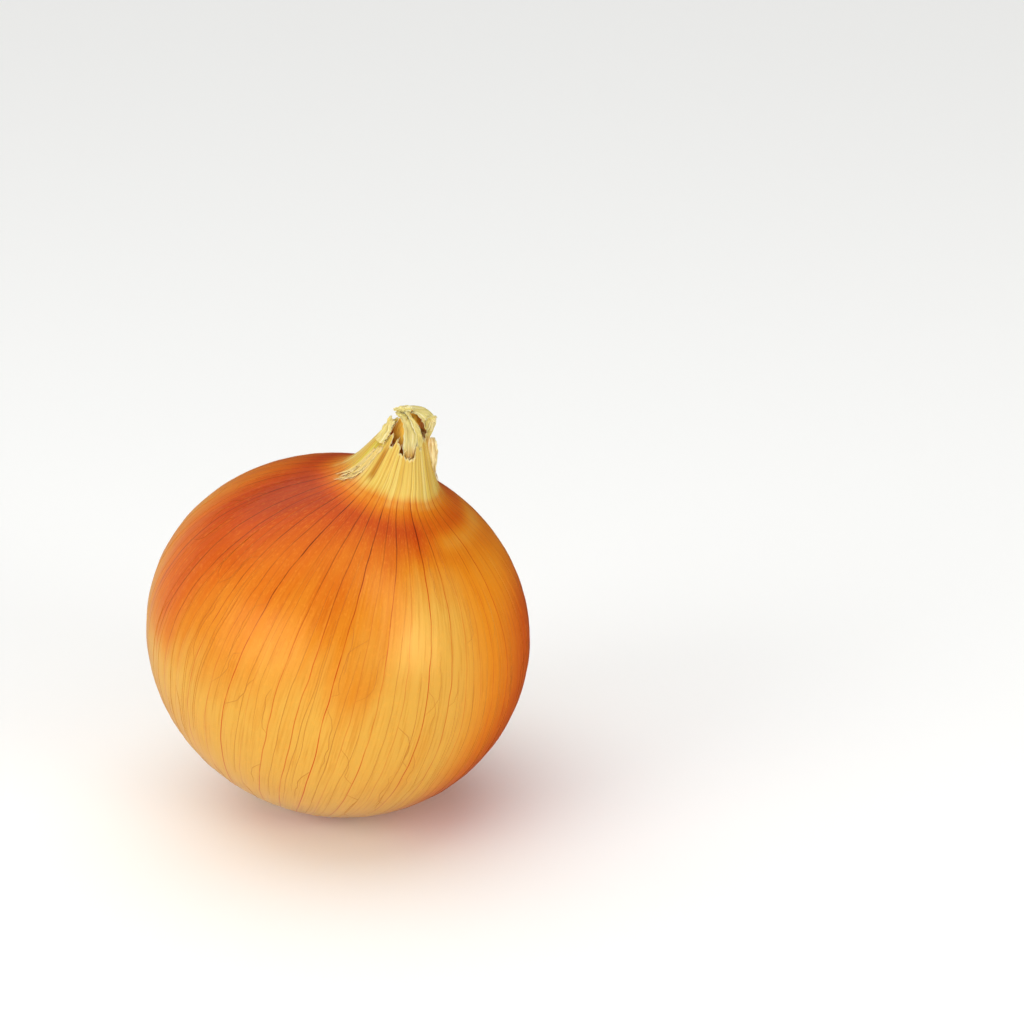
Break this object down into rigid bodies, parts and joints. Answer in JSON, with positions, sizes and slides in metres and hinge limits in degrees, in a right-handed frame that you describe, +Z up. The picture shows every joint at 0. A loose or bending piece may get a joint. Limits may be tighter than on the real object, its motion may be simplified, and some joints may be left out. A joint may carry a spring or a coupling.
{
  "type": "onion",
  "caption": "Whole yellow globe onion in its dry skin, with a torn papery neck and a dried root plate, leaning on a small flat spot.",
  "frame": {"origin": "middle of the small flat spot that the onion rests on", "axes": "+Z up from the surface it rests on. -Y is the side that faces the viewer. The onion's own axis leans about 17 degrees from +Z, its neck towards +X."},
  "size_m": [0.079, 0.0805, 0.0877],
  "materials": {
    "dry_orange_skin": "satin",
    "dry_amber_skin": "satin",
    "dried_root": "matte"
  },
  "bodies": {
    "root": {"bulb": "dry_orange_skin", "neck_inner_skin": "dry_amber_skin", "root_plate": "dried_root"}
  },
  "joints": []
}
